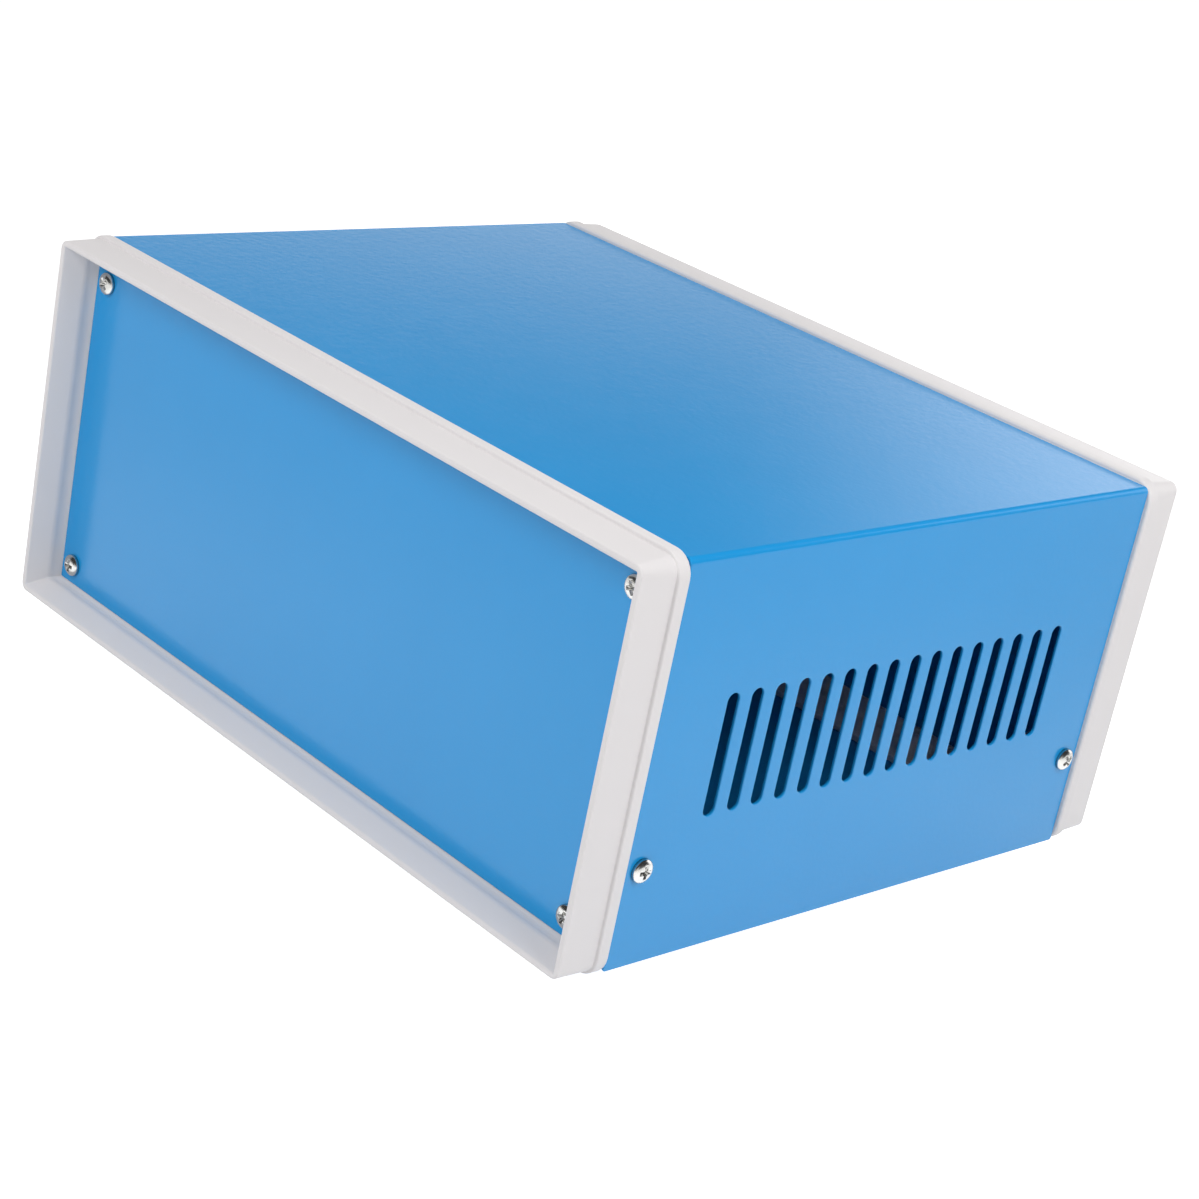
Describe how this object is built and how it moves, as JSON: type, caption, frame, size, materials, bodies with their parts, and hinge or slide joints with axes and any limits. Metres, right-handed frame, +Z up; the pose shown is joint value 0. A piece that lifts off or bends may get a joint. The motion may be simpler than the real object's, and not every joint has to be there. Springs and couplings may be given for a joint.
{
  "type": "sheet metal instrument enclosure",
  "caption": "Box-shaped blue steel enclosure with slotted sides, a folded cover and tray, recessed end panels in moulded off-white bezels, and rubber feet; houses electronics.",
  "frame": {"origin": "middle of the footprint on the surface that the feet stand on", "axes": "+X to the right seen from the front, across the width; +Z up; the front panel faces -Y"},
  "size_m": [0.252, 0.21, 0.1192],
  "materials": {
    "blue_paint": "satin powder coat with a fine orange-peel texture",
    "bezel_plastic": "moulded, satin, fine grain",
    "bright_zinc": "bright zinc plate",
    "foot_rubber": "matt"
  },
  "bodies": {
    "root": {"top_cover": "blue_paint", "base_tray": "blue_paint", "front_bezel": "bezel_plastic", "rear_bezel": "bezel_plastic", "front_panel": "blue_paint", "rear_panel": "blue_paint", "foot_front_left": "foot_rubber", "foot_front_right": "foot_rubber", "foot_rear_left": "foot_rubber", "foot_rear_right": "foot_rubber", "front_panel_screws": "bright_zinc", "rear_panel_screws": "bright_zinc", "left_cover_screws": "bright_zinc", "right_cover_screws": "bright_zinc", "front_tray_screws": "bright_zinc", "rear_tray_screws": "bright_zinc", "foot_screws": "bright_zinc", "foot_washers": "bright_zinc", "foot_nuts": "bright_zinc"}
  },
  "joints": []
}
